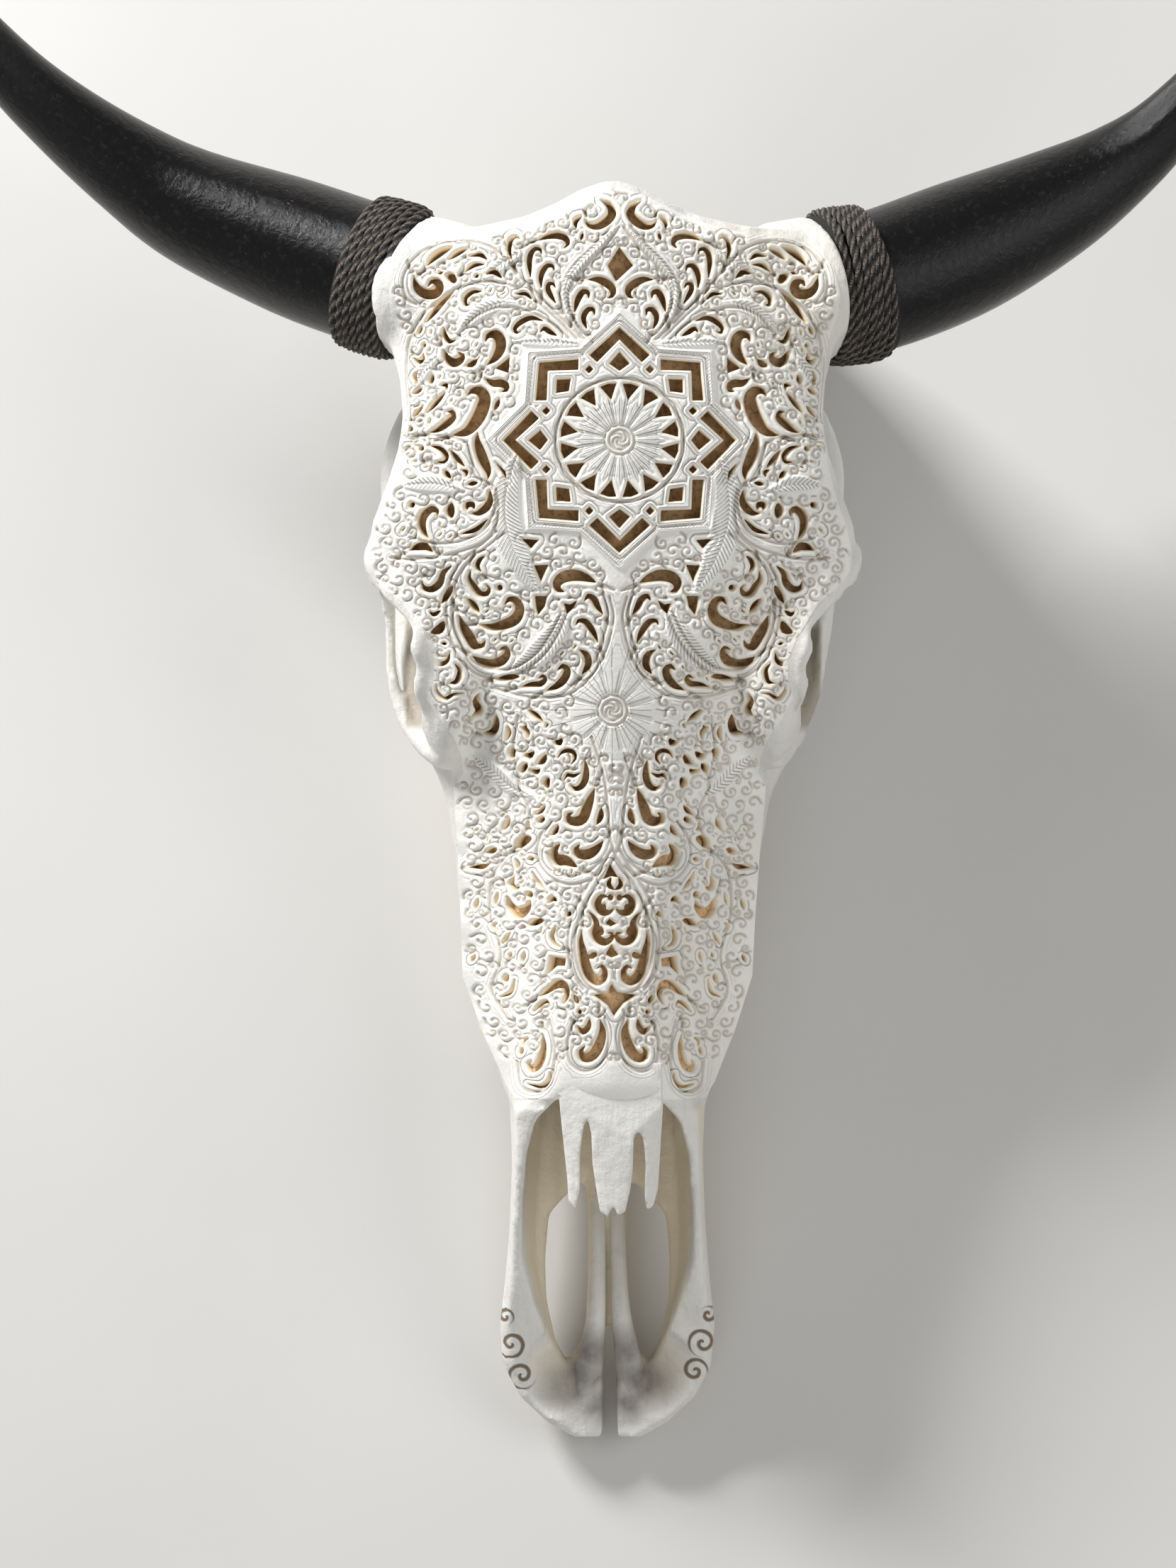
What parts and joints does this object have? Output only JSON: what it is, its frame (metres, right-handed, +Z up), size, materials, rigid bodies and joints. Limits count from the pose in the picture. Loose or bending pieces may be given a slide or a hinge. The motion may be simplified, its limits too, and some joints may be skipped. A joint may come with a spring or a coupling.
{
  "type": "carved cow skull",
  "caption": "Whole upper skull of a cow with its black horns, the bone of forehead and face pierced and carved with scrolls and a star, horn bases bound with cord; a display piece.",
  "frame": {"origin": "Bottom centre of the whole object's box: on the table, under the middle of its length and width", "axes": "+Y runs from the snout to the back of the skull and along its length, +X is to the viewer's right when the face is seen from above with the horns away from the viewer, +Z points up, out of the face"},
  "size_m": [0.5628, 0.6136, 0.1949],
  "materials": {
    "bone": "matt bleached bone, cream at the cut edges, tan inside the piercings",
    "horn": "polished black horn with faint lengthwise streaks and small pale flecks",
    "cord": "dark brown twisted cord",
    "enamel": "worn tooth enamel and dentine"
  },
  "bodies": {
    "root": {"skull": "bone", "left_horn": "horn", "right_horn": "horn", "left_binding": "cord", "right_binding": "cord", "left_premolar_1": "enamel", "left_premolar_2": "enamel", "left_premolar_3": "enamel", "left_molar_1": "enamel", "left_molar_2": "enamel", "left_molar_3": "enamel", "right_premolar_1": "enamel", "right_premolar_2": "enamel", "right_premolar_3": "enamel", "right_molar_1": "enamel", "right_molar_2": "enamel", "right_molar_3": "enamel"}
  },
  "joints": []
}
